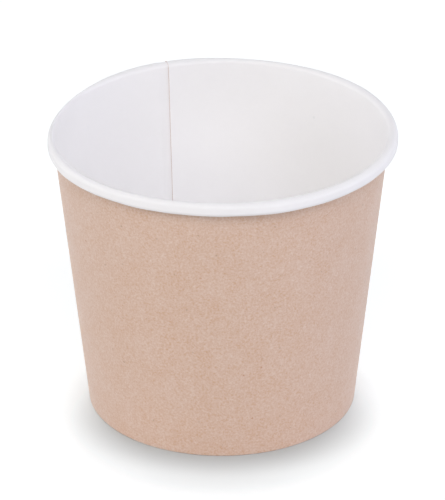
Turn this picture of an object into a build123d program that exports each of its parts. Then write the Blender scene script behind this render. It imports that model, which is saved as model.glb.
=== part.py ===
from build123d import *

import os
from math import acos, asin, atan2, cos, degrees, hypot, sin, tan

# A paper soup bowl made of two board blanks. The side wall is one blank, brown outside and
# white inside, wrapped into a cone with a glued lap, rolled outwards at the rim and turned in
# at the foot. The base is a round blank with a turned-down skirt, which the foot's hem grips.
#
# Frame: millimetres, origin on the bowl's axis at the level that the foot stands on, +Z up.
# The edge of the side seam shows inside, at the back of the bowl and a little to the left.

# The whole bowl
rim_diameter = 98.0  # over the rolled rim
foot_diameter = 76.0  # over the wall, at the foot
height = 83.0  # from the foot to the top of the roll

# The boards
wall_board = 0.42
base_board = 0.38

# The rolled rim, a hollow roll that is a little higher than it is wide
roll_width = 2.7
roll_height = 3.7
roll_clearance = 0.1  # from the roll's free edge to the wall's lap

# The side seam
seam_azimuth = 109.7  # of the inner layer's cut edge, in degrees from +X
lap_width = 6.5  # at the rim
climb_width = 1.6  # over which the outer layer climbs onto the inner one, at the rim

# The foot and the base
base_recess = 8.0  # from the foot to the underside of the base
base_bend = 0.6  # inside radius between the base's disc and its skirt
hem_height = 6.0  # of the wall's turned-in edge, along the wall
skirt_clearance = 0.3  # from the skirt's lower edge to the fold below it
foot_press = 0.08  # by which the fold is pressed flat where it stands

# The wall's taper: its white face runs straight from the foot to the roll, and is tangent to it.
# Points of a section are (distance from the axis, height).
roll_radius = roll_width / 2
roll_top = Vector(rim_diameter / 2 - roll_radius, height - roll_radius)
roll_low = Vector(rim_diameter / 2 - roll_radius, height - roll_height + roll_radius)
wall_start = Vector(foot_diameter / 2 - wall_board, 0)  # of the white face
reach = roll_top - wall_start
taper = atan2(reach.X, reach.Y) - asin(roll_radius / hypot(reach.X, reach.Y))
taper_degrees = degrees(taper)
upwards = Vector(sin(taper), cos(taper))  # along the wall
outwards = Vector(cos(taper), -sin(taper))  # from the white face to the brown one

# The roll turns back towards the wall until its edge would touch the lap's two layers
lap_reach = wall_start.X + roll_low.Y * tan(taper) + 2 * wall_board + roll_clearance
roll_turn = 180 - degrees(acos((roll_low.X - lap_reach) / roll_radius))

lap_angle = degrees(lap_width / (rim_diameter / 2))
climb_angle = degrees(climb_width / (rim_diameter / 2))


def fold_centre(layers):
    """Centre of the fold at the foot, where the wall has that many layers of board."""
    level = base_board / 2 + layers * wall_board - foot_press
    distance_up = (level - base_board / 2 * sin(taper)) / cos(taper)
    return wall_start + upwards * distance_up - outwards * (base_board / 2)


def wall_curve(depth, layers):
    """Curve that lies this deep under the wall's white face, from the hem to the roll's edge."""
    fold = fold_centre(layers)
    fold_radius = base_board / 2 + depth
    curl_radius = roll_radius - depth
    hem_side = fold - outwards * fold_radius
    wall_side = fold + outwards * fold_radius
    return [
        Line(hem_side + upwards * hem_height, hem_side),
        CenterArc(fold, fold_radius, 180 - taper_degrees, 180),
        Line(wall_side, roll_top - outwards * curl_radius),
        CenterArc(roll_top, curl_radius, 180 - taper_degrees, taper_degrees - 180),
        Line(roll_top + Vector(curl_radius, 0), roll_low + Vector(curl_radius, 0)),
        CenterArc(roll_low, curl_radius, 0, -roll_turn),
    ]


def wall_section(white_depth, brown_depth, layers, azimuth):
    """Upright section of the wall between two depths, turned to an azimuth."""
    white = wall_curve(white_depth, layers)
    brown = wall_curve(brown_depth, layers)
    hem_edge = Line(white[0] @ 0, brown[0] @ 0)
    roll_edge = Line(white[-1] @ 1, brown[-1] @ 1)
    section = Plane.XZ * make_face(white + brown + [hem_edge, roll_edge])
    return Rot(0, 0, azimuth) * section


def make_side_wall():
    """The wrapped blank: one layer all round, two in the lap, and the climb beside it."""
    lap_start = seam_azimuth - lap_angle
    climb_end = seam_azimuth + climb_angle
    two_layers = wall_section(0, 2 * wall_board, 2, lap_start)
    lap = revolve(two_layers, axis=Axis.Z, revolution_arc=lap_angle)
    climb = loft(
        [
            wall_section(wall_board, 2 * wall_board, 2, seam_azimuth),
            wall_section(0, wall_board, 1, climb_end),
        ],
        ruled=True,
    )
    one_layer = wall_section(0, wall_board, 1, climb_end)
    round_wall = revolve(one_layer, axis=Axis.Z, revolution_arc=360 - lap_angle - climb_angle)
    return split(round_wall + lap + climb, bisect_by=Plane.XY, keep=Keep.TOP)


def base_curve(depth):
    """Curve that lies this deep under the base's upper face, from the axis to the skirt's edge."""
    level = base_recess + base_board
    bend_radius = base_bend + base_board
    bend_level = level - bend_radius
    bend = Vector(wall_start.X + bend_level * tan(taper) - bend_radius / cos(taper), bend_level)
    lowest_fold = fold_centre(2) + outwards * (base_board / 2)
    skirt_edge = lowest_fold + upwards * skirt_clearance
    return [
        Line((0, level - depth), (bend.X, level - depth)),
        CenterArc(bend, bend_radius - depth, 90, -90 - taper_degrees),
        Line(bend + outwards * (bend_radius - depth), skirt_edge - outwards * depth),
    ]


def make_base():
    """The base: a disc, its bend and the skirt that lies on the wall."""
    upper = base_curve(0)
    lower = base_curve(base_board)
    axis_side = Line(upper[0] @ 0, lower[0] @ 0)
    skirt_edge = Line(upper[-1] @ 1, lower[-1] @ 1)
    section = Plane.XZ * make_face(upper + lower + [axis_side, skirt_edge])
    return revolve(section, axis=Axis.Z)


pieces = {
    "side_wall": make_side_wall(),
    "base": make_base(),
}

os.makedirs("parts", exist_ok=True)
for name, solid in pieces.items():
    export_step(solid, f"parts/{name}.step")
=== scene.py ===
"""A paper soup bowl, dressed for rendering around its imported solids.

The bowl is two board blanks. The side wall is brown kraft outside and white inside; it is wrapped
into a cone with a glued lap, rolled outwards at the rim and turned in at the foot. The base is a
round white blank whose turned-down skirt the foot's hem grips.

Everything is in metres, with +Z up and the origin on the bowl's axis where its foot stands.
"""

import logging
import math
from dataclasses import dataclass
from enum import Enum
from typing import Any, Callable, Mapping, Sequence

import bpy
from mathutils import Matrix, Vector


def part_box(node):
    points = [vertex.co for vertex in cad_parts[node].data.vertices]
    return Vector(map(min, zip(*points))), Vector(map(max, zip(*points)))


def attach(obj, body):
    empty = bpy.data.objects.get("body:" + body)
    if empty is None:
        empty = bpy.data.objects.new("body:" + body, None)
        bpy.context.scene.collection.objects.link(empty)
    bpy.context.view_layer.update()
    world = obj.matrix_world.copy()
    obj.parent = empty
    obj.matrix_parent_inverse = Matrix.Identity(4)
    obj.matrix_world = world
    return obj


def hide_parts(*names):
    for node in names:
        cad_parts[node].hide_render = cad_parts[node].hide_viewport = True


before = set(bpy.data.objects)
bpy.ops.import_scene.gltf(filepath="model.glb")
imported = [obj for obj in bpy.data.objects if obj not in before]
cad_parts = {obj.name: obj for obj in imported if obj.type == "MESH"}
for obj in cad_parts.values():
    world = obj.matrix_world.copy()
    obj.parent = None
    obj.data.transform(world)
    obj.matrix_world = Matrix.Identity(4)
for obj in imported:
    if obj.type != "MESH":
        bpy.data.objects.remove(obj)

Color = tuple[float, float, float]
Points = list[tuple[Vector, Vector]]

MILLIMETRE = 0.001
MERGE_DISTANCE = 1e-6
FRAME_DECIMALS = 5
WHITE: Color = (1.0, 1.0, 1.0)

log = logging.getLogger("soup_bowl")


def named(thing: Any, fields: Sequence[str]) -> dict[str, Any]:
    """Some fields of an object by the names that inputs of nodes have, such as Grain Size."""
    return {field.replace("_", " ").title(): getattr(thing, field) for field in fields}


def node_operation(name: str, swapped: bool = False) -> Callable[["Field", Any], "Field"]:
    """Makes a method of Field that lays a Math node.

    Args:
        name: Blender's name of the node's operation.
        swapped: Whether the field comes second, as after a number.

    Returns:
        The method.
    """

    def lay(field: "Field", other: Any) -> "Field":
        """Result of the node on the field and another field or number."""
        values = (other, field) if swapped else (field, other)
        return field.build.math(name, *values)

    return lay


@dataclass(frozen=True, eq=False)
class Field:
    """An output of a node, with the arithmetic of Math nodes where it is a number.

    Attributes:
        build: Builder of its tree.
        socket: The output's socket.
    """

    build: "TreeBuilder"
    socket: bpy.types.NodeSocket

    __add__ = node_operation("ADD")
    __radd__ = node_operation("ADD", swapped=True)
    __sub__ = node_operation("SUBTRACT")
    __rsub__ = node_operation("SUBTRACT", swapped=True)
    __mul__ = node_operation("MULTIPLY")
    __rmul__ = node_operation("MULTIPLY", swapped=True)
    __truediv__ = node_operation("DIVIDE")
    __rtruediv__ = node_operation("DIVIDE", swapped=True)
    __mod__ = node_operation("FLOORED_MODULO")
    __lt__ = node_operation("LESS_THAN")
    __gt__ = node_operation("GREATER_THAN")


class TreeBuilder:
    """Adds nodes to a tree and joins them. An input takes a field or a plain value."""

    def __init__(self, tree: bpy.types.NodeTree) -> None:
        """Wraps the tree that gets the nodes."""
        self.tree = tree

    def add(self, kind: str, inputs: Mapping[Any, Any] | None = None, **settings: Any) -> bpy.types.Node:
        """Adds a node.

        Args:
            kind: Blender's name of the node type.
            inputs: Field or value for each input, by its name or number.
            **settings: Properties of the node itself, set before its inputs.

        Returns:
            The new node.
        """
        node = self.tree.nodes.new(kind)
        for name, value in settings.items():
            setattr(node, name, value)
        for key, value in (inputs or {}).items():
            self.feed(node.inputs[key], value)
        return node

    def get(
        self, kind: str, inputs: Mapping[Any, Any] | None = None, output: int | str = 0, **settings: Any
    ) -> Field:
        """Output of a new node, by its name or number."""
        return Field(self, self.add(kind, inputs, **settings).outputs[output])

    def feed(self, socket: bpy.types.NodeSocket, value: Any) -> None:
        """Links a field to an input, or sets the input's own value.

        Args:
            socket: The input.
            value: A field or a plain value, which is three parts for a colour.
        """
        if isinstance(value, Field):
            self.tree.links.new(value.socket, socket)
        elif socket.type == "RGBA":
            socket.default_value = (*value, 1.0)
        else:
            socket.default_value = value

    def math(self, operation: str, *values: Any) -> Field:
        """Result of a Math node on numbers."""
        return self.get("ShaderNodeMath", dict(enumerate(values)), operation=operation)

    def vector(self, operation: str, *values: Any) -> Field:
        """Vector that a Vector Math node makes."""
        return self.get("ShaderNodeVectorMath", dict(enumerate(values)), operation=operation)

    def amount(self, operation: str, *values: Any) -> Field:
        """Number that a Vector Math node makes."""
        return self.get("ShaderNodeVectorMath", dict(enumerate(values)), "Value", operation=operation)

    def scaled(self, vector: Field, factor: Field) -> Field:
        """A vector times a number."""
        inputs = {"Vector": vector, "Scale": factor}
        return self.get("ShaderNodeVectorMath", inputs, operation="SCALE")

    def joined(self, *parts: Any) -> Field:
        """Vector of three numbers."""
        return self.get("ShaderNodeCombineXYZ", dict(enumerate(parts)))

    def ramp(self, value: Any, start: Any, end: Any, low: Any, high: Any, smooth: bool = False) -> Field:
        """Number that goes from low to high while another goes from start to end, and is held beyond.

        Args:
            value: What is mapped.
            start: Where the result leaves low.
            end: Where the result reaches high.
            low: First result.
            high: Last result.
            smooth: Whether the ramp eases in and out.

        Returns:
            The mapped value.
        """
        kind = "SMOOTHSTEP" if smooth else "LINEAR"
        inputs = {"Value": value, "From Min": start, "From Max": end, "To Min": low, "To Max": high}
        return self.get("ShaderNodeMapRange", inputs, interpolation_type=kind, clamp=True)

    def noise(self, place: Field, scale: Field, detail: float = 1.0, roughness: float = 0.5) -> Field:
        """Noise about zero, within a half on either side."""
        inputs = {"Vector": place, "Scale": scale, "Detail": detail, "Roughness": roughness}
        return self.get("ShaderNodeTexNoise", inputs, "Fac", noise_dimensions="3D") - 0.5

    def blend(self, factor: Field, first: Any, second: Any, kind: str = "MIX") -> Field:
        """Colour between two colours, at a factor from 0 to 1."""
        inputs = {"Factor": factor, 6: first, 7: second}
        return self.get("ShaderNodeMix", inputs, 2, data_type="RGBA", blend_type=kind)


class GeometryBuilder(TreeBuilder):
    """Builds a geometry tree that makes a piece from its section and named values."""

    def __init__(self, name: str, values: Mapping[str, Any]) -> None:
        """Makes a tree with its inputs.

        Args:
            name: Name of the tree.
            values: Value of each named input, whose type is the input's.
        """
        super().__init__(bpy.data.node_groups.new(name, "GeometryNodeTree"))
        kinds = {float: "NodeSocketFloat", int: "NodeSocketInt", bpy.types.Material: "NodeSocketMaterial"}
        sockets = self.tree.interface
        sockets.new_socket("Geometry", in_out="OUTPUT", socket_type="NodeSocketGeometry")
        sockets.new_socket("Section", in_out="INPUT", socket_type="NodeSocketGeometry")
        for key, value in values.items():
            sockets.new_socket(key, in_out="INPUT", socket_type=kinds[type(value)])
        entry = self.tree.nodes.new("NodeGroupInput")
        self.section = Field(self, entry.outputs["Section"])
        self.given = {key: Field(self, entry.outputs[key]) for key in values}

    def read(self, name: str, data_type: str = "FLOAT") -> Field:
        """Named attribute of the geometry that a field is worked out on."""
        return self.get("GeometryNodeInputNamedAttribute", {"Name": name}, "Attribute", data_type=data_type)

    def store(self, geometry: Field, name: str, value: Any, domain: str = "POINT") -> Field:
        """Stores a number on each point or face of a geometry, under a name."""
        inputs = {"Geometry": geometry, "Name": name, "Value": value}
        return self.get("GeometryNodeStoreNamedAttribute", inputs, data_type="FLOAT", domain=domain)

    def sample(self, value: Field, number: Field, data_type: str = "FLOAT") -> Field:
        """Value that the section has at its point of that number."""
        inputs = {"Geometry": self.section, "Value": value, "Index": number}
        return self.get("GeometryNodeSampleIndex", inputs, data_type=data_type, domain="POINT")

    def grid(self, columns: Any, rows: Any) -> Field:
        """Grid of faces whose vertices are numbered row by row within each column."""
        inputs = {"Size X": 1.0, "Size Y": 1.0, "Vertices X": columns, "Vertices Y": rows}
        return self.get("GeometryNodeMeshGrid", inputs, "Mesh")

    def finish(
        self, geometry: Field, place: Field, crease: float, coats: Sequence[tuple[Field, Field | None]]
    ) -> bpy.types.NodeTree:
        """Places a shell's points, closes and shades it, and gives its faces their materials.

        Args:
            geometry: The shell.
            place: Where each of its points goes.
            crease: Angle between two faces, in radians, over which their edge is sharp.
            coats: Material and selection pairs, where None selects every face.

        Returns:
            The finished tree.
        """
        placed = self.get("GeometryNodeSetPosition", {"Geometry": geometry, "Position": place})
        inputs = {"Geometry": placed, "Distance": MERGE_DISTANCE}
        closed = self.get("GeometryNodeMergeByDistance", inputs)
        inputs = {"Geometry": closed, "Shade Smooth": True}
        smooth = self.get("GeometryNodeSetShadeSmooth", inputs)
        inputs = {"A": self.get("GeometryNodeInputMeshEdgeAngle"), "B": crease}
        sharp = self.get("FunctionNodeCompare", inputs, data_type="FLOAT", operation="GREATER_THAN")
        inputs = {"Geometry": smooth, "Selection": sharp, "Shade Smooth": False}
        creased = self.get("GeometryNodeSetShadeSmooth", inputs, domain="EDGE")
        result = self.get("GeometryNodeRealizeInstances", {"Geometry": creased})
        for material, selection in coats:
            inputs = {"Geometry": result, "Material": material}
            if selection is not None:
                inputs["Selection"] = selection
            result = self.get("GeometryNodeSetMaterial", inputs)
        self.add("NodeGroupOutput", {0: result})
        return self.tree


def new_object(name: str, data: bpy.types.ID) -> bpy.types.Object:
    """Adds an object to the scene.

    Args:
        name: Its name.
        data: Its mesh, light or camera.

    Returns:
        The object.
    """
    thing = bpy.data.objects.new(name, data)
    bpy.context.scene.collection.objects.link(thing)
    return thing


def grow_mesh(
    seed: bpy.types.Object, tree: bpy.types.NodeTree, values: Mapping[str, Any]
) -> bpy.types.Object:
    """Runs a geometry tree on an object and keeps the result as its plain mesh.

    Args:
        seed: Object that carries the tree's section.
        tree: The geometry tree.
        values: Value of each named input.

    Returns:
        The same object, with the finished mesh and no modifier.
    """
    modifier = seed.modifiers.new("grow", "NODES")
    modifier.node_group = tree
    for item in tree.interface.items_tree:
        if item.in_out == "INPUT" and item.name in values:
            modifier[item.identifier] = values[item.name]
    graph = bpy.context.evaluated_depsgraph_get()
    finished = seed.evaluated_get(graph)
    grown = bpy.data.meshes.new_from_object(finished, preserve_all_data_layers=True, depsgraph=graph)
    grown.name = seed.name
    seed.modifiers.remove(modifier)
    seed.data = grown
    return seed


class Effects:
    """Shader groups that several finishes share, each built once."""

    def __init__(self) -> None:
        """Builds the groups."""
        self.mottle = self._mottle()
        self.fleck = self._fleck()
        self.mark = self._mark()

    @staticmethod
    def _group(
        name: str, vectors: Sequence[str], numbers: Sequence[str], outputs: Sequence[str]
    ) -> tuple[TreeBuilder, dict[str, Field], bpy.types.Node]:
        """Starts a shader group.

        Args:
            name: The group's name.
            vectors: Names of its vector inputs.
            numbers: Names of its number inputs.
            outputs: Names of its outputs.

        Returns:
            Its builder, its inputs as fields inside it, and its output node.
        """
        tree = bpy.data.node_groups.new(name, "ShaderNodeTree")
        for key in vectors:
            tree.interface.new_socket(key, in_out="INPUT", socket_type="NodeSocketVector")
        for key in numbers:
            tree.interface.new_socket(key, in_out="INPUT", socket_type="NodeSocketFloat")
        for key in outputs:
            tree.interface.new_socket(key, in_out="OUTPUT", socket_type="NodeSocketFloat")
        build = TreeBuilder(tree)
        entry = tree.nodes.new("NodeGroupInput")
        given = {key: Field(build, entry.outputs[key]) for key in (*vectors, *numbers)}
        return build, given, tree.nodes.new("NodeGroupOutput")

    def _mottle(self) -> bpy.types.NodeTree:
        """Pulp mottle: grain, tufts and clouds of three sizes, each about zero, and their sum.

        Returns:
            The group.
        """
        layers = {"Grain": (3.0, 0.65), "Tuft": (2.0, 0.55), "Cloud": (2.0, 0.5)}
        numbers = (*layers, *(f"{layer} Size" for layer in layers))
        build, given, leave = self._group("pulp_mottle", ("Vector",), numbers, ("Tone", "Height"))
        parts = []
        for layer, (detail, roughness) in layers.items():
            noise = build.noise(given["Vector"], 1.0 / given[f"{layer} Size"], detail, roughness)
            parts.append(noise * given[layer])
        height = parts[0] + parts[1]
        build.feed(leave.inputs["Height"], height)
        build.feed(leave.inputs["Tone"], height + parts[2])
        return build.tree

    def _fleck(self) -> bpy.types.NodeTree:
        """Sparse short flecks: one in a random share of cells, as a mask from 0 to 1.

        Returns:
            The group.
        """
        least_size = 0.4
        hard_middle = 0.4
        numbers = ("Cell Size", "Fleck Size", "Share")
        build, given, leave = self._group("pulp_fleck", ("Vector",), numbers, ("Mask",))
        scale = 1.0 / given["Cell Size"]
        cells = build.add("ShaderNodeTexVoronoi", {"Vector": given["Vector"], "Scale": scale}, feature="F1")
        chance = build.add("ShaderNodeSeparateColor", {0: Field(build, cells.outputs["Color"])})
        first, second = (Field(build, chance.outputs[number]) for number in (0, 1))
        reach = (second + least_size) * (given["Fleck Size"] * scale)
        distance = Field(build, cells.outputs["Distance"])
        spot = build.ramp(distance, reach * hard_middle, reach, 1.0, 0.0, smooth=True)
        build.feed(leave.inputs["Mask"], spot * (first < given["Share"]))
        return build.tree

    def _mark(self) -> bpy.types.NodeTree:
        """A small mark as a mask. Its three directions are vectors divided by how far it reaches.

        Returns:
            The group.
        """
        hard_middle = 0.3
        directions = ("Along", "Across", "Out")
        build, given, leave = self._group("small_mark", ("Vector", "Middle", *directions), (), ("Mask",))
        offset = build.vector("SUBTRACT", given["Vector"], given["Middle"])
        share = build.joined(*(build.amount("DOT_PRODUCT", offset, given[name]) for name in directions))
        mask = build.ramp(build.amount("LENGTH", share), hard_middle, 1.0, 1.0, 0.0, smooth=True)
        build.feed(leave.inputs["Mask"], mask)
        return build.tree


@dataclass(frozen=True)
class Mark:
    """A small spot or scratch on a face of the wall, or a painted highlight streak, with its lengths in
    millimetres.

    Attributes:
        azimuth: Where it lies round the bowl, in degrees.
        level: Its height above the foot.
        radius: Its distance from the axis.
        half_length: Half its length.
        half_width: Half its width.
        tint: Factor on the face's colour at its middle.
        slant: Turn of its length from upright towards greater azimuths, in degrees.
        depth: How far in and out of the face it reaches.
    """

    azimuth: float
    level: float
    radius: float
    half_length: float
    half_width: float
    tint: Color
    slant: float = 0.0
    depth: float = 5.0

    def lay(self, build: TreeBuilder, effects: Effects, place: Field, color: Field) -> Field:
        """Lays the mark over a face's colour.

        Args:
            build: The material's builder.
            effects: The shared groups.
            place: Coordinates in metres.
            color: Colour of the face without the mark.

        Returns:
            The colour with the mark.
        """
        turn = math.radians(self.azimuth)
        slant = math.radians(self.slant)
        out = Vector((math.cos(turn), math.sin(turn), 0.0))
        onwards = Vector((-math.sin(turn), math.cos(turn), 0.0))
        up = Vector((0.0, 0.0, 1.0))
        along = up * math.cos(slant) + onwards * math.sin(slant)
        across = onwards * math.cos(slant) - up * math.sin(slant)
        values = {
            "Vector": place,
            "Middle": (out * self.radius + up * self.level) * MILLIMETRE,
            "Along": along / (self.half_length * MILLIMETRE),
            "Across": across / (self.half_width * MILLIMETRE),
            "Out": out / (self.depth * MILLIMETRE),
        }
        mask = build.get("ShaderNodeGroup", values, "Mask", node_tree=effects.mark)
        return build.blend(mask, color, self.tint, "MULTIPLY")


@dataclass(frozen=True)
class Pulp:
    """Mottle of one finish: sizes in metres, and strengths as shares of the noise's range."""

    grain_size: float
    tuft_size: float
    cloud_size: float
    grain: float
    tuft: float
    cloud: float

    def place(self, build: TreeBuilder, effects: Effects, vector: Field) -> bpy.types.Node:
        """Places the mottle group in a material with this finish's values.

        Args:
            build: The material's builder.
            effects: The shared groups.
            vector: Coordinates in metres.

        Returns:
            The group node.
        """
        values = {"Vector": vector, **named(self, list(vars(self)))}
        return build.add("ShaderNodeGroup", values, node_tree=effects.mottle)


@dataclass(frozen=True)
class Flecks:
    """Dark flecks of one finish.

    Attributes:
        share: Share of the cells that hold one.
        color: Their colour.
        strength: How much they cover, from 0 to 1.
        cell_size: Size of a cell.
        fleck_size: Size of a fleck.
    """

    share: float
    color: Color
    strength: float = 0.5
    cell_size: float = 1.6 * MILLIMETRE
    fleck_size: float = 0.3 * MILLIMETRE

    def lay(self, build: TreeBuilder, effects: Effects, place: Field, color: Field) -> Field:
        """Lays the flecks over a face's colour.

        Args:
            build: The material's builder.
            effects: The shared groups.
            place: Coordinates in metres.
            color: Colour of the face without flecks.

        Returns:
            The colour with flecks.
        """
        values = {"Vector": place, **named(self, ("cell_size", "fleck_size", "share"))}
        mask = build.get("ShaderNodeGroup", values, "Mask", node_tree=effects.fleck)
        return build.blend(mask * self.strength, color, self.color)


@dataclass(frozen=True)
class BoardFinish:
    """Finish of one face of a board.

    Attributes:
        name: The material's name.
        dark: Colour where the mottle is darkest.
        light: Colour where it is lightest.
        pulp: The mottle.
        roughness: The surface's roughness.
        specular: The shader's specular level.
        relief: Height of the mottle's relief, in metres.
        sheen: Weight of the soft sheen that loose fibres give.
        rolled: Factor on the colour over the roll: painted shade that makes the roll darker than the rest of
            the face.
        overlays: Flecks and small marks on the face.
        roughness_swing: How much the darkest mottle is rougher and the lightest smoother.
    """

    name: str
    dark: Color
    light: Color
    pulp: Pulp
    roughness: float
    specular: float
    relief: float
    sheen: float = 0.0
    rolled: Color | None = None
    overlays: tuple[Flecks | Mark, ...] = ()
    roughness_swing: float = 0.06

    def make(self, effects: Effects) -> bpy.types.Material:
        """Builds the material.

        Args:
            effects: The shared shader groups.

        Returns:
            The finished material.
        """
        material = bpy.data.materials.new(self.name)
        material.use_nodes = True
        build = TreeBuilder(material.node_tree)
        shader = material.node_tree.nodes["Principled BSDF"]
        place = build.get("ShaderNodeTexCoord", output="Object")
        mottle = self.pulp.place(build, effects, place)
        share = Field(build, mottle.outputs["Tone"]) + 0.5
        color = build.blend(share, self.dark, self.light)
        for overlay in self.overlays:
            color = overlay.lay(build, effects, place, color)
        # Painted shade: the colour over the roll is darkened by a factor.
        if self.rolled:
            curl = build.get("ShaderNodeAttribute", output="Fac", attribute_name="curl")
            color = build.blend(curl, color, self.rolled, "MULTIPLY")
        build.feed(shader.inputs["Base Color"], color)
        rough = self.roughness + self.roughness_swing
        smooth = self.roughness - self.roughness_swing
        build.feed(shader.inputs["Roughness"], build.ramp(share, 0.0, 1.0, rough, smooth))
        shader.inputs["Specular IOR Level"].default_value = self.specular
        shader.inputs["Sheen Weight"].default_value = self.sheen
        height = Field(build, mottle.outputs["Height"])
        inputs = {"Strength": 1.0, "Distance": self.relief, "Height": height}
        build.feed(shader.inputs["Normal"], build.get("ShaderNodeBump", inputs, "Normal"))
        return material


class Finish(Enum):
    """The finishes of the bowl's faces."""

    KRAFT = BoardFinish(
        name="kraft_face",
        dark=(0.545, 0.296, 0.158),
        light=(0.745, 0.617, 0.558),
        pulp=Pulp(0.00055, 0.0025, 0.008, 1.32, 0.24, 0.2),
        roughness=0.66,
        specular=0.45,
        relief=0.000014,
        sheen=0.25,
        overlays=(
            Flecks(0.12, (0.36, 0.24, 0.17)),
            Mark(-146.4, 60.6, 44.5, 0.45, 0.9, (0.86, 0.72, 0.62)),
            Mark(-81.6, 27.0, 40.9, 0.4, 0.4, (0.86, 0.7, 0.62)),
            Mark(-74.6, 29.0, 41.1, 0.45, 0.48, (0.84, 0.66, 0.56)),
            Mark(-77.6, 12.3, 39.3, 0.48, 0.48, (0.86, 0.7, 0.6)),
            Mark(-97.4, 58.8, 44.3, 0.46, 0.46, (0.87, 0.72, 0.63)),
            Mark(-74.4, 32.0, 41.4, 1.5, 0.5, (0.9, 0.83, 0.78), slant=-17),
            # Painted highlight: a light diagonal streak where a faint crease catches the light.
            Mark(-142.0, 18.4, 40.0, 8.5, 1.2, (1.02, 1.03, 1.04), slant=-47),
        ),
    )
    LINING = BoardFinish(
        name="white_lining",
        dark=(0.925, 0.91, 0.915),
        light=(0.965, 0.95, 0.955),
        pulp=Pulp(0.0009, 0.004, 0.02, 0.5, 0.4, 0.4),
        roughness=0.5,
        specular=0.4,
        relief=0.00001,
        # Painted shade over the roll
        rolled=(0.922, 0.922, 0.93),
        overlays=(
            Mark(53.8, 69.4, 45.0, 0.6, 0.5, (0.92, 0.935, 0.935)),
            Mark(147.3, 72.0, 45.3, 1.1, 0.45, (0.97, 0.975, 0.98)),
        ),
    )
    CUT_EDGE = BoardFinish(
        name="cut_edge",
        dark=(0.45, 0.28, 0.21),
        light=(0.65, 0.43, 0.34),
        pulp=Pulp(0.0003, 0.001, 0.006, 1.0, 0.4, 0.3),
        roughness=0.85,
        specular=0.2,
        relief=0.00003,
    )
    BASE = BoardFinish(
        name="base_lining",
        dark=(0.93, 0.92, 0.92),
        light=(0.96, 0.95, 0.95),
        pulp=Pulp(0.0009, 0.004, 0.02, 0.6, 0.4, 0.4),
        roughness=0.42,
        specular=0.45,
        relief=0.00001,
    )


class Coat(Enum):
    """Number that a face of the wrapped wall carries for its finish."""

    LINING = 0.0
    KRAFT = 1.0
    CUT_EDGE = 2.0


@dataclass(frozen=True)
class SectionPoint:
    """A point on the face of a board, in an upright section.

    Attributes:
        place: Distance from the axis, and height.
        across: Direction from this face into the board.
        folded: 1 on the hem and its fold, and 0 elsewhere.
        curl: How far the point is along the roll, from 0 to 1.
        under: How far it is down the roll's outer side, from 0 to 1.
    """

    place: Vector
    across: Vector
    folded: float = 0.0
    curl: float = 0.0
    under: float = 0.0


def on_line(start: Vector, end: Vector, across: Vector, steps: int) -> Points:
    """Points of a straight run, without its end.

    Args:
        start: First point.
        end: Point at which the run stops.
        across: Direction into the board.
        steps: Number of points.

    Returns:
        Place and direction into the board of each point.
    """
    return [(start.lerp(end, index / steps), across) for index in range(steps)]


def on_arc(centre: Vector, radius: float, start: float, turn: float, inwards: bool, steps: int) -> Points:
    """Points of an arc, without its end.

    Args:
        centre: The arc's centre.
        radius: Its radius.
        start: Direction of its first point from the centre, in degrees.
        turn: How far it turns, in degrees.
        inwards: Whether the board lies towards the centre.
        steps: Number of points.

    Returns:
        Place and direction into the board of each point.
    """
    points = []
    for index in range(steps):
        angle = math.radians(start + turn * index / steps)
        away = Vector((math.cos(angle), math.sin(angle)))
        points.append((centre + away * radius, -away if inwards else away))
    return points


@dataclass(frozen=True)
class Wave:
    """An out-of-round wave: lobes round the bowl, height in metres and azimuth of a crest in degrees."""

    lobes: int
    height: float
    crest: float


@dataclass(frozen=True)
class Boards:
    """Sizes that the two boards share, worked out from the frame and a few driving sizes."""

    rim_radius: float
    height: float
    foot_diameter: float = 76.0 * MILLIMETRE
    wall_board: float = 0.42 * MILLIMETRE
    base_board: float = 0.38 * MILLIMETRE
    roll_width: float = 2.7 * MILLIMETRE
    roll_height: float = 3.7 * MILLIMETRE
    roll_clearance: float = 0.1 * MILLIMETRE
    foot_press: float = 0.08 * MILLIMETRE

    @property
    def roll_radius(self) -> float:
        """Radius of the roll's upper and lower halves."""
        return self.roll_width / 2

    @property
    def roll_top(self) -> Vector:
        """Centre of the roll's upper half."""
        return Vector((self.rim_radius - self.roll_radius, self.height - self.roll_radius))

    @property
    def roll_low(self) -> Vector:
        """Centre of the roll's lower half."""
        level = self.height - self.roll_height + self.roll_radius
        return Vector((self.rim_radius - self.roll_radius, level))

    @property
    def wall_start(self) -> Vector:
        """Foot of the wall's white face."""
        return Vector((self.foot_diameter / 2 - self.wall_board, 0.0))

    @property
    def taper(self) -> float:
        """The wall's lean, in radians."""
        reach = self.roll_top - self.wall_start
        return math.atan2(reach.x, reach.y) - math.asin(self.roll_radius / reach.length)

    @property
    def upwards(self) -> Vector:
        """Direction up along the wall."""
        return Vector((math.sin(self.taper), math.cos(self.taper)))

    @property
    def outwards(self) -> Vector:
        """Direction from the wall's white face to its brown one."""
        return Vector((math.cos(self.taper), -math.sin(self.taper)))

    def fold_centre(self, layers: int) -> Vector:
        """Centre of the fold at the foot.

        Args:
            layers: How many layers of board the wall has there.

        Returns:
            Distance from the axis, and height.
        """
        level = self.base_board / 2 + layers * self.wall_board - self.foot_press
        distance_up = (level - self.base_board / 2 * math.sin(self.taper)) / math.cos(self.taper)
        return self.wall_start + self.upwards * distance_up - self.outwards * (self.base_board / 2)


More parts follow.
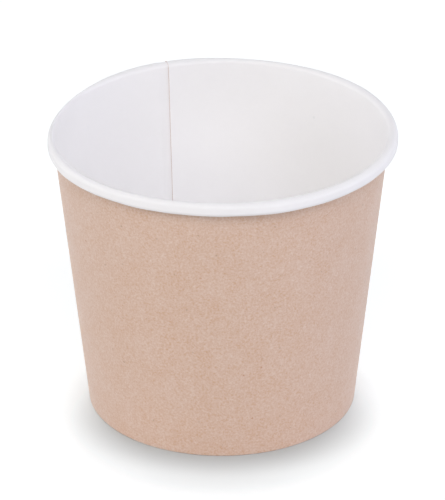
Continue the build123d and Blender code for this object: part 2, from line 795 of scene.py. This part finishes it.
@dataclass
class SideWall:
    """The wrapped blank: cone, lap, rolled rim and hem.

    Attributes:
        boards: The shared sizes.
        seam_azimuth: Azimuth of the inner layer's cut edge at the foot, in degrees.
        seam_lean: By how many degrees more it stands at the rim.
        lap_width: Width of the lap at the rim.
        climb_width: Width over which the outer layer climbs onto the inner one, at the rim.
        layer_gap: Gap between the lap's layers.
        wall_squeeze: Share of its thickness that the board loses where it is double on the wall.
        roll_squeeze: Share that it loses there on the roll.
        squeeze_start: Height above the foot at which the wall's squeeze starts.
        squeeze_full: Height at which it is full.
        hem_height: Height of the wall's turned-in edge.
        lump_height: Height of the small lumps of the roll's lower edge.
        lump_scale: How closely the lumps follow each other.
        steps_round: Steps of the mesh round the bowl beside the lap.
        steps_lap: Steps over the lap.
        steps_climb: Steps over a climb.
        steps_hem: Steps of the section up the hem.
        steps_fold: Steps round the fold.
        steps_wall: Steps up the wall.
        steps_top: Steps over the roll's upper half.
        steps_flank: Steps down its straight flank.
        steps_under: Steps round its lower half.
        steps_to_lumps: Steps of the lower half after which the lumps have their full height.
        crease: Angle in radians over which an edge is sharp.
        rim_waves: Out-of-round waves of the rim.
        wall_waves: Those of the wall, which fade out towards the foot.
    """

    boards: Boards
    seam_azimuth: float = 110.4
    seam_lean: float = -1.37
    lap_width: float = 6.5 * MILLIMETRE
    climb_width: float = 3.2 * MILLIMETRE
    layer_gap: float = 0.02 * MILLIMETRE
    wall_squeeze: float = 0.4
    roll_squeeze: float = 0.75
    squeeze_start: float = 10.0 * MILLIMETRE
    squeeze_full: float = 25.0 * MILLIMETRE
    hem_height: float = 6.0 * MILLIMETRE
    lump_height: float = 0.5 * MILLIMETRE
    lump_scale: float = 4.0
    steps_round: int = 352
    steps_lap: int = 8
    steps_climb: int = 8
    steps_hem: int = 5
    steps_fold: int = 12
    steps_wall: int = 16
    steps_top: int = 20
    steps_flank: int = 3
    steps_under: int = 13
    steps_to_lumps: int = 6
    crease: float = math.radians(40)
    rim_waves: tuple[Wave, ...] = (
        Wave(1, 0.47 * MILLIMETRE, 7),
        Wave(2, 0.31 * MILLIMETRE, 71),
        Wave(3, 0.41 * MILLIMETRE, -22),
        Wave(4, 0.46 * MILLIMETRE, 28),
        Wave(5, 0.19 * MILLIMETRE, -24),
        Wave(6, 0.13 * MILLIMETRE, -11),
    )
    wall_waves: tuple[Wave, ...] = (
        Wave(2, 0.18 * MILLIMETRE, 44),
        Wave(3, 0.19 * MILLIMETRE, -34),
    )

    def section(self) -> list[SectionPoint]:
        """Points of the white face, from the hem's edge to the roll's edge.

        Returns:
            The section's points in order.
        """
        boards = self.boards
        lean = math.degrees(boards.taper)
        fold = boards.fold_centre(1)
        fold_radius = boards.base_board / 2
        hem_side = fold - boards.outwards * fold_radius
        hem_edge = hem_side + boards.upwards * self.hem_height
        wall_side = fold + boards.outwards * fold_radius
        tangent = boards.roll_top - boards.outwards * boards.roll_radius
        flank = Vector((boards.roll_radius, 0.0))
        lap_reach = boards.wall_start.x + boards.roll_low.y * math.tan(boards.taper)
        lap_reach += 2 * boards.wall_board + boards.roll_clearance
        roll_turn = 180 - math.degrees(math.acos((boards.roll_low.x - lap_reach) / boards.roll_radius))

        folded = on_line(hem_edge, hem_side, -boards.outwards, self.steps_hem)
        folded += on_arc(fold, fold_radius, 180 - lean, 180, False, self.steps_fold)
        wall = on_line(wall_side, tangent, boards.outwards, self.steps_wall)
        top = on_arc(boards.roll_top, boards.roll_radius, 180 - lean, lean - 180, True, self.steps_top)
        inwards = Vector((-1.0, 0.0))
        side = on_line(boards.roll_top + flank, boards.roll_low + flank, inwards, self.steps_flank)
        low = on_arc(boards.roll_low, boards.roll_radius, 0, -roll_turn, True, self.steps_under)
        low += on_arc(boards.roll_low, boards.roll_radius, -roll_turn, 0, True, 1)

        # The curl is full a third of the way over the roll's top. The lumps rise by a third of their
        # height down the top's outer half, by a third down the flank and by the rest on the lower half.
        points = [SectionPoint(*run, folded=1.0) for run in folded]
        points += [SectionPoint(*run) for run in wall]
        for index, run in enumerate(top):
            share = index / len(top)
            points.append(SectionPoint(*run, 0.0, min(1.0, 3 * share), max(0.0, 2 * share - 1) / 3))
        for index, run in enumerate(side):
            points.append(SectionPoint(*run, 0.0, 1.0, (1 + index / len(side)) / 3))
        for index, run in enumerate(low):
            points.append(SectionPoint(*run, 0.0, 1.0, min(1.0, (2 + index / self.steps_to_lumps) / 3)))
        return points

    def seed(self) -> bpy.types.Object:
        """Object whose mesh holds the section's points and what the tree has to know of each.

        Returns:
            The seed object.
        """
        points = self.section()
        mesh = bpy.data.meshes.new("wall_section")
        mesh.from_pydata([(point.place.x, 0.0, point.place.y) for point in points], [], [])
        across = [part for point in points for part in (point.across.x, 0.0, point.across.y)]
        mesh.attributes.new("across", "FLOAT_VECTOR", "POINT").data.foreach_set("vector", across)
        for name in ("folded", "curl", "under"):
            numbers = [getattr(point, name) for point in points]
            mesh.attributes.new(name, "FLOAT", "POINT").data.foreach_set("value", numbers)
        return new_object("wrapped_wall", mesh)

    def values(self, materials: Mapping[Finish, bpy.types.Material]) -> dict[str, Any]:
        """Value of each named input of the tree.

        Args:
            materials: The finished materials.

        Returns:
            The values by the inputs' names.
        """
        boards = self.boards
        squeeze = ("wall_squeeze", "roll_squeeze", "squeeze_start", "squeeze_full")
        steps = ("steps_round", "steps_lap", "steps_climb")
        values: dict[str, Any] = {
            **named(boards, ("wall_board", "rim_radius", "height", "taper")),
            **named(self, (*squeeze, *steps, "layer_gap", "lump_height", "lump_scale")),
            "Seam": math.radians(self.seam_azimuth),
            "Seam Lean": math.radians(self.seam_lean),
            "Lap": self.lap_width / boards.rim_radius,
            "Climb": self.climb_width / boards.rim_radius,
            "Flank": (boards.roll_top - boards.outwards * boards.roll_radius).x,
            "Section Points": len(self.section()),
            "Lining": materials[Finish.LINING],
            "Kraft": materials[Finish.KRAFT],
            "Cut Edge": materials[Finish.CUT_EDGE],
        }
        for label, waves in (("Wall", self.wall_waves), ("Rim", self.rim_waves)):
            for wave in waves:
                values[f"{label} {wave.lobes} Height"] = wave.height
                values[f"{label} {wave.lobes} Crest"] = math.radians(wave.crest)
        return values

    def _waves(self, build: GeometryBuilder, label: str, waves: Sequence[Wave], azimuth: Field) -> Any:
        """Sum of some waves at an azimuth.

        Args:
            build: The tree's builder.
            label: First word of the waves' input names.
            waves: The waves.
            azimuth: Azimuth in radians.

        Returns:
            The sum, in metres.
        """
        total: Any = 0.0
        for wave in waves:
            phase = (azimuth - build.given[f"{label} {wave.lobes} Crest"]) * float(wave.lobes)
            height = build.given[f"{label} {wave.lobes} Height"]
            total = build.math("MULTIPLY_ADD", build.math("COSINE", phase), height, total)
        return total

    def _shell(self, build: GeometryBuilder, last_step: Field) -> Field:
        """Shell of the blank: round the section and back on the other face, and along the blank.

        Args:
            build: The tree's builder.
            last_step: Number of the blank's last step.

        Returns:
            Grids whose points know their point of the section, their layer and their step.
        """
        count = build.given["Section Points"]
        loop = count * 2.0
        rows = loop + 1.0
        shell = build.grid(last_step + 1.0, rows)
        index = build.get("GeometryNodeInputIndex")
        row = index % rows
        middle = count - 0.5
        from_middle = build.math("ABSOLUTE", row - middle)
        point = build.math("MAXIMUM", middle - from_middle, 0.0)
        shell = build.store(shell, "point", point)
        shell = build.store(shell, "layer", (row > middle) * (row < loop - 0.5))
        shell = build.store(shell, "step", build.math("FLOOR", index / rows))
        face_row = index % loop
        at_roll_edge = build.math("ABSOLUTE", face_row - (count - 1.0)) < 0.5
        cut = build.math("MAXIMUM", at_roll_edge, face_row > loop - 1.5) * Coat.CUT_EDGE.value
        coat = build.math("MAXIMUM", (face_row > middle) * Coat.KRAFT.value, cut)
        parts = [build.store(shell, "coat", coat, "FACE")]

        # The blank's two cut ends
        for end_step, turn_over in ((0.0, False), (last_step, True)):
            end = build.grid(count, 2)
            end = build.store(end, "point", build.math("FLOOR", index / 2.0))
            end = build.store(end, "layer", index % 2.0)
            end = build.store(end, "step", end_step)
            end = build.store(end, "coat", Coat.CUT_EDGE.value, "FACE")
            parts.append(build.get("GeometryNodeFlipFaces", {"Mesh": end}) if turn_over else end)
        join = build.add("GeometryNodeJoinGeometry")
        for part in reversed(parts):
            build.feed(join.inputs[0], part)
        return Field(build, join.outputs[0])

    def _place(
        self, build: GeometryBuilder, turned: Field, over: Field, doubled: Field
    ) -> tuple[Field, Field]:
        """Where each point of the shell goes.

        Args:
            build: The tree's builder.
            turned: Angle from the seam's inner edge, backwards round the bowl.
            over: How far the outer layer has climbed onto the inner one, from 0 to 1.
            doubled: Share of a second layer, over or under this one.

        Returns:
            The place, and how far it is along the roll.
        """
        given = build.given
        board, height, flank = (given[name] for name in ("Wall Board", "Height", "Flank"))
        layer_depth = board + given["Layer Gap"]
        number = build.read("point")
        at = build.sample(build.get("GeometryNodeInputPosition"), number, "FLOAT_VECTOR")
        across = build.sample(build.read("across", "FLOAT_VECTOR"), number, "FLOAT_VECTOR")
        names = ("folded", "curl", "under")
        folded, curl, under = (build.sample(build.read(name), number) for name in names)

        # Into the board, less where the lap is pressed, and up by a layer at the foot
        sunk = build.math("MULTIPLY_ADD", build.read("layer"), board, over * layer_depth)
        squeeze = given["Wall Squeeze"]
        upper = build.get("ShaderNodeSeparateXYZ", {0: at}, "Z")
        on_wall = build.ramp(upper, given["Squeeze Start"], given["Squeeze Full"], 0.0, squeeze, smooth=True)
        on_roll = curl * (given["Roll Squeeze"] - squeeze)
        sunk = sunk * (1.0 - doubled * (on_wall + on_roll))
        moved = build.vector("ADD", at, build.scaled(across, sunk))
        along = build.joined(build.math("TANGENT", given["Taper"]), 0.0, 1.0)
        moved = build.vector("ADD", moved, build.scaled(along, doubled * layer_depth * folded))
        apart = build.add("ShaderNodeSeparateXYZ", {0: moved})
        radius, level = (Field(build, apart.outputs[name]) for name in ("X", "Z"))
        level = build.math("MAXIMUM", level, 0.0)

        # Round the axis, with the seam's lean and the out-of-round waves
        leaned = build.math("MULTIPLY_ADD", level / height, given["Seam Lean"], given["Seam"])
        azimuth = leaned - turned
        wall_wave = self._waves(build, "Wall", self.wall_waves, azimuth)
        rim_wave = self._waves(build, "Rim", self.rim_waves, azimuth)
        widened = (rim_wave - wall_wave) / (given["Rim Radius"] - flank)
        roll_growth = build.math("MAXIMUM", radius - flank, 0.0) * widened * curl
        radius = radius + (roll_growth + wall_wave * (level / height))
        cosine, sine = build.math("COSINE", azimuth), build.math("SINE", azimuth)
        lumps = build.noise(build.joined(cosine, sine, 0.0), given["Lump Scale"])
        level = level + lumps * given["Lump Height"] * under
        return build.joined(radius * cosine, radius * sine, level), curl

    def tree(self, values: Mapping[str, Any]) -> bpy.types.NodeTree:
        """Geometry tree that wraps the board: it turns the section round the axis, layer over layer.

        Args:
            values: Value of each named input.

        Returns:
            The tree.
        """
        build = GeometryBuilder("wrap_board", values)
        given = build.given

        # The blank's steps: under the lap, beside it, round the bowl, up the climb, over the lap
        lap, climb = given["Lap"], given["Climb"]
        open_turn = math.tau - (lap + climb) - climb
        ends = ((given["Steps Lap"], lap), (given["Steps Climb"], climb))
        step = build.read("step")
        turned: Any = 0.0
        reaches: list[Any] = [0.0]
        for steps, angle in (*ends, (given["Steps Round"], open_turn), *reversed(ends)):
            reaches.append(reaches[-1] + steps)
            turned = turned + build.ramp(step, reaches[-2], reaches[-1], 0.0, angle)
        over = build.ramp(step, reaches[3], reaches[4], 0.0, 1.0, smooth=True)
        doubled = over + build.ramp(step, reaches[1], reaches[2], 1.0, 0.0, smooth=True)

        shell = self._shell(build, reaches[-1])
        place, curl = self._place(build, turned, over, doubled)
        coats: list[tuple[Field, Field | None]] = [(given["Lining"], None)]
        for name, coat in (("Kraft", Coat.KRAFT), ("Cut Edge", Coat.CUT_EDGE)):
            inputs = {"A": build.read("coat"), "B": coat.value}
            chosen = build.get("FunctionNodeCompare", inputs, data_type="FLOAT", operation="EQUAL")
            coats.append((given[name], chosen))
        return build.finish(build.store(shell, "curl", curl), place, self.crease, coats)

    def build(self, materials: Mapping[Finish, bpy.types.Material]) -> bpy.types.Object:
        """Makes the wrapped wall as a plain mesh, with the finished materials."""
        values = self.values(materials)
        return grow_mesh(self.seed(), self.tree(values), values)

    def declare(self, piece: bpy.types.Object) -> None:
        """Says what the piece moves with, and hides the part that it stands for.

        Args:
            piece: The wall's object.
        """
        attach(piece, "root")
        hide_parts("side_wall")


@dataclass
class Base:
    """The base: a disc with a pressed ring, its bend and its skirt.

    Attributes:
        boards: The shared sizes.
        recess: From the foot to the underside of the disc.
        bend: Inside radius between the disc and the skirt.
        skirt_clearance: From the skirt's lower edge to the fold below it.
        wall_gap: Gap between the skirt and the wall.
        dish: How far the disc's middle is pressed down.
        ring_radius: Radius of the pressed ring.
        ring_width: Half its width.
        ring_depth: Its depth.
        steps_round: Steps of the mesh round the axis.
        steps_disc: Steps of the section over the disc.
        steps_bend: Steps round the bend.
        steps_skirt: Steps down the skirt.
        crease: Angle in radians over which an edge is sharp.
    """

    boards: Boards
    recess: float = 8.0 * MILLIMETRE
    bend: float = 0.6 * MILLIMETRE
    skirt_clearance: float = 0.3 * MILLIMETRE
    wall_gap: float = 0.01 * MILLIMETRE
    dish: float = 0.35 * MILLIMETRE
    ring_radius: float = 31.0 * MILLIMETRE
    ring_width: float = 1.8 * MILLIMETRE
    ring_depth: float = 0.14 * MILLIMETRE
    steps_round: int = 288
    steps_disc: int = 40
    steps_bend: int = 10
    steps_skirt: int = 4
    crease: float = math.radians(40)

    def _dip(self, radius: float) -> float:
        """How far the disc is pressed down.

        Args:
            radius: Distance from the axis.

        Returns:
            The depth there.
        """
        share = min(1.0, radius / self.ring_radius)
        dished = self.dish * (1 - share * share) ** 2
        ring = self.ring_depth * math.exp(-(((radius - self.ring_radius) / self.ring_width) ** 2))
        return dished + ring

    def face(self, depth: float) -> list[tuple[float, float]]:
        """Points of the section from the axis to the skirt's edge, under the upper face.

        Args:
            depth: Distance below the upper face.

        Returns:
            Distance from the axis and height of each point.
        """
        boards = self.boards
        level = self.recess + boards.base_board
        bend_radius = self.bend + boards.base_board
        bend_level = level - bend_radius
        inner = boards.wall_start.x + bend_level * math.tan(boards.taper)
        inner -= bend_radius / math.cos(boards.taper)
        centre = Vector((inner - self.wall_gap, bend_level))
        lowest_fold = boards.fold_centre(2) + boards.outwards * (boards.base_board / 2 - self.wall_gap)
        skirt_edge = lowest_fold + boards.upwards * self.skirt_clearance
        radii = [centre.x * index / self.steps_disc for index in range(self.steps_disc)]
        points = [Vector((radius, level - depth - self._dip(radius))) for radius in radii]
        lean = math.degrees(boards.taper)
        bent = on_arc(centre, bend_radius - depth, 90, -90 - lean, True, self.steps_bend)
        bend_end = centre + boards.outwards * (bend_radius - depth)
        edge = skirt_edge - boards.outwards * depth
        skirt = on_line(bend_end, edge, boards.outwards, self.steps_skirt)
        points += [place for place, _ in bent + skirt]
        points.append(edge)
        return [(point.x, point.y) for point in points]

    def tree(self, values: Mapping[str, Any]) -> bpy.types.NodeTree:
        """Geometry tree that turns a section round the axis into a closed shell.

        Args:
            values: Value of each named input.

        Returns:
            The tree.
        """
        build = GeometryBuilder("turn_board", values)
        count, steps = build.given["Section Points"], build.given["Steps Round"]
        shell = build.grid(steps + 1.0, count)
        index = build.get("GeometryNodeInputIndex")
        turn = build.math("FLOOR", index / count) / steps * -math.tau
        at = build.sample(build.get("GeometryNodeInputPosition"), index % count, "FLOAT_VECTOR")
        inputs = {"Vector": at, "Angle": turn}
        place = build.get("ShaderNodeVectorRotate", inputs, rotation_type="Z_AXIS")
        return build.finish(shell, place, self.crease, [(build.given["Lining"], None)])

    def build(self, materials: Mapping[Finish, bpy.types.Material]) -> bpy.types.Object:
        """Makes the base as a plain mesh.

        Args:
            materials: The finished materials.

        Returns:
            The base's object.
        """
        points = self.face(0.0) + list(reversed(self.face(self.boards.base_board)))
        mesh = bpy.data.meshes.new("base_section")
        mesh.from_pydata([(radius, 0.0, level) for radius, level in points], [], [])
        lining = materials[Finish.BASE]
        values = {"Section Points": len(points), "Steps Round": self.steps_round, "Lining": lining}
        return grow_mesh(new_object("pressed_base", mesh), self.tree(values), values)

    def declare(self, piece: bpy.types.Object) -> None:
        """Says what the piece moves with, and hides the part that it stands for.

        Args:
            piece: The base's object.
        """
        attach(piece, "root")
        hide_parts("base")


@dataclass(frozen=True)
class SoftBox:
    """A square soft light that points at the bowl.

    Attributes:
        name: The light's name.
        azimuth: Direction in which it stands, in degrees from the camera's side towards the right.
        elevation: Its height above the horizon, in degrees.
        power: Its power in watts.
        color: Its colour.
        distance: From the bowl's foot to the light.
        size: Length of its side.
    """

    name: str
    azimuth: float
    elevation: float
    power: float
    color: Color
    distance: float = 1.6
    size: float = 0.9

    def hang(self, target: Vector) -> None:
        """Hangs the light.

        Args:
            target: Point that it faces.
        """
        turn = math.radians(self.azimuth)
        lift = math.radians(self.elevation)
        level = math.cos(lift)
        direction = Vector((level * math.sin(turn), -level * math.cos(turn), math.sin(lift)))
        lamp = bpy.data.lights.new(self.name, "AREA")
        lamp.shape = "SQUARE"
        lamp.size = self.size
        lamp.energy = self.power
        lamp.color = self.color
        holder = new_object(self.name, lamp)
        holder.location = self.distance * direction
        holder.rotation_euler = (target - holder.location).to_track_quat("-Z", "Y").to_euler()


@dataclass(frozen=True)
class Shade:
    """An edge of the bowl's painted soft shadow, across which the floor's glow comes up.

    Attributes:
        inner: Distance from the shadow's middle within which there is no glow.
        outer: Distance beyond which the glow is full.
        glow: The glow's strength there.
        squeeze: Factor on distances across the picture, which is small for a wide shadow.
    """

    inner: float
    outer: float
    glow: float
    squeeze: float


def turn_pair(first: Vector, second: Vector, angle: float) -> tuple[Vector, Vector]:
    """Turns two directions that stand square to each other, in their own plane.

    Args:
        first: A direction.
        second: The direction that it turns towards.
        angle: The turn, in radians.

    Returns:
        Both directions after the turn.
    """
    cosine, sine = math.cos(angle), math.sin(angle)
    return first * cosine + second * sine, second * cosine - first * sine


@dataclass
class Studio:
    """Pale floor, soft lights and the camera.

    Attributes:
        height: The bowl's height.
        floor_size: Length of the floor's side.
        sky: Strength of the even light from all round.
        boxes: The soft lights.
        floor_paint: Colour of the floor's paint to the light that it passes on.
        floor_seen: Its colour to the camera, which shows as the bowl's painted shadow where the glow is low,
            a little cold against the brown light from the bowl.
        shadow_middle: How far behind the bowl's axis the painted soft shadow's middle lies.
        shades: Edges of the painted shadow, where the floor turns white to the camera.
        most_glow: The glow's strength away from the bowl.
        camera_distance: From the camera to the middle of the bowl's axis.
        camera_elevation: Height of the camera's direction above the horizon, in radians.
        camera_roll: Turn of the picture, in radians.
        focal_pixels: Focal length in pixels of the photograph's frame.
        aim_offset: Pixels by which the picture's centre lies right of and above the axis's middle.
        frame_height: Height of the photograph's frame, in pixels.
        sensor: Side of the camera's sensor, in millimetres.
    """

    height: float
    floor_size: float = 6.0
    sky: float = 0.03
    boxes: tuple[SoftBox, ...] = (
        SoftBox("left", -90, 12, 8.3, (0.92, 0.93, 0.995)),
        SoftBox("right", 90, 13, 6.0, (0.88, 0.88, 1.0)),
        SoftBox("front_left", -45, 36, 5.0, (1.0, 0.95, 0.78)),
        SoftBox("front_right", 45, 36, 6.1, (0.93, 0.93, 1.0)),
        SoftBox("front", 0, 50, 11.5, (0.955, 0.965, 1.0)),
        SoftBox("back_left", -135, 36, 5.3, (0.94, 0.94, 1.0)),
        SoftBox("back_right", 135, 36, 5.4, (0.95, 0.97, 1.0)),
    )
    floor_paint: Color = (0.9, 0.9, 0.9)
    floor_seen: Color = (0.492, 0.522, 0.53)
    shadow_middle: float = -15.5 * MILLIMETRE
    shades: tuple[Shade, ...] = (
        Shade(20.8 * MILLIMETRE, 36.0 * MILLIMETRE, 0.357, 0.772),
        Shade(28.0 * MILLIMETRE, 85.6 * MILLIMETRE, 0.9, 1.027),
    )
    most_glow: float = 0.66
    camera_distance: float = 1.1085
    camera_elevation: float = 0.47183
    camera_roll: float = -0.00253
    focal_pixels: float = 3922.9
    aim_offset: tuple[float, float] = (-0.94513, 11.65509)
    frame_height: int = 500
    sensor: float = 36.0

    @property
    def middle(self) -> Vector:
        """Middle of the bowl's axis, at which the lights and the camera point."""
        return Vector((0.0, 0.0, self.height / 2))

    def add_floor(self) -> None:
        """Adds the floor, white to the camera away from the bowl, with a painted soft shadow of the bowl
        near it.
        """
        half = self.floor_size / 2
        corners = [(-half, -half, 0), (half, -half, 0), (half, half, 0), (-half, half, 0)]
        mesh = bpy.data.meshes.new("floor")
        mesh.from_pydata(corners, [], [(0, 1, 2, 3)])
        floor = new_object("floor", mesh)
        material = bpy.data.materials.new("pale_floor")
        material.use_nodes = True
        material.node_tree.nodes.clear()
        build = TreeBuilder(material.node_tree)
        seen = self._seen(build)
        paint = build.blend(seen, self.floor_paint, self.floor_seen)
        diffuse = build.get("ShaderNodeBsdfDiffuse", {"Color": paint})
        place = build.get("ShaderNodeTexCoord", output="Object")
        # Painted shadow: glow ramps round a middle set off from the bowl's axis leave the darker seen colour
        # near the bowl.
        away = build.vector("SUBTRACT", place, (0.0, self.shadow_middle, 0.0))
        glow: Any = 0.0
        for shade in self.shades:
            distance = build.amount("LENGTH", build.vector("MULTIPLY", away, (shade.squeeze, 1.0, 1.0)))
            glow = glow + build.ramp(distance, shade.inner, shade.outer, 0.0, shade.glow, smooth=True)
        strength = build.math("MINIMUM", glow, self.most_glow) * seen
        light = build.get("ShaderNodeEmission", {"Color": WHITE, "Strength": strength})
        both = build.get("ShaderNodeAddShader", {0: diffuse, 1: light})
        build.add("ShaderNodeOutputMaterial", {"Surface": both})
        mesh.materials.append(material)

    @staticmethod
    def _seen(build: TreeBuilder) -> Field:
        """Which rays show a surface to the camera, straight or by way of gloss or glass.

        Args:
            build: Builder of the material or world.

        Returns:
            1 for such rays, and 0 for rays of light.
        """
        path = build.add("ShaderNodeLightPath")
        names = ("Is Camera Ray", "Is Glossy Ray", "Is Transmission Ray")
        straight, glossy, through = (Field(build, path.outputs[name]) for name in names)
        return build.math("MINIMUM", straight + glossy + through, 1.0)

    def add_lights(self) -> None:
        """Adds the even light and the soft boxes."""
        world = bpy.data.worlds.new("studio")
        world.use_nodes = True
        bpy.context.scene.world = world
        build = TreeBuilder(world.node_tree)
        background = world.node_tree.nodes["Background"]
        build.feed(background.inputs["Color"], WHITE)
        build.feed(background.inputs["Strength"], build.ramp(self._seen(build), 0.0, 1.0, self.sky, 1.0))
        for box in self.boxes:
            box.hang(self.middle)

    def add_camera(self) -> None:
        """Adds the camera at the photograph's place and angle."""
        lift = self.camera_elevation
        eye = self.middle + Vector((0.0, -math.cos(lift), math.sin(lift))) * self.camera_distance
        forward = (self.middle - eye).normalized()
        right = Vector((1.0, 0.0, 0.0))
        up = right.cross(forward)
        forward, up = turn_pair(forward, up, math.atan2(self.aim_offset[1], self.focal_pixels))
        forward, right = turn_pair(forward, right, -math.atan2(self.aim_offset[0], self.focal_pixels))
        right, up = turn_pair(right, up, self.camera_roll)
        data = bpy.data.cameras.new("camera")
        data.sensor_fit = "VERTICAL"
        data.sensor_height = self.sensor
        data.sensor_width = self.sensor
        data.lens = self.focal_pixels / self.frame_height * self.sensor
        camera = new_object("camera", data)
        turned = Matrix((right, up, -forward)).transposed().to_4x4()
        camera.matrix_world = Matrix.Translation(eye) @ turned
        bpy.context.scene.camera = camera


def main() -> None:
    """Builds the bowl and its surroundings, and reports each piece."""
    logging.basicConfig(level=logging.INFO, format="%(message)s")
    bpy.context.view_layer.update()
    bpy.context.scene.view_settings.view_transform = "Standard"

    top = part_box("side_wall")[1]
    boards = Boards(rim_radius=round(top.x, FRAME_DECIMALS), height=round(top.z, FRAME_DECIMALS))
    effects = Effects()
    materials = {finish: finish.value.make(effects) for finish in Finish}
    for part in (SideWall(boards), Base(boards)):
        piece = part.build(materials)
        part.declare(piece)
        log.info("%s: %d vertices, %d faces", piece.name, len(piece.data.vertices), len(piece.data.polygons))

    studio = Studio(boards.height)
    studio.add_floor()
    studio.add_lights()
    studio.add_camera()
    bpy.context.view_layer.update()


if __name__ == "__main__":
    main()
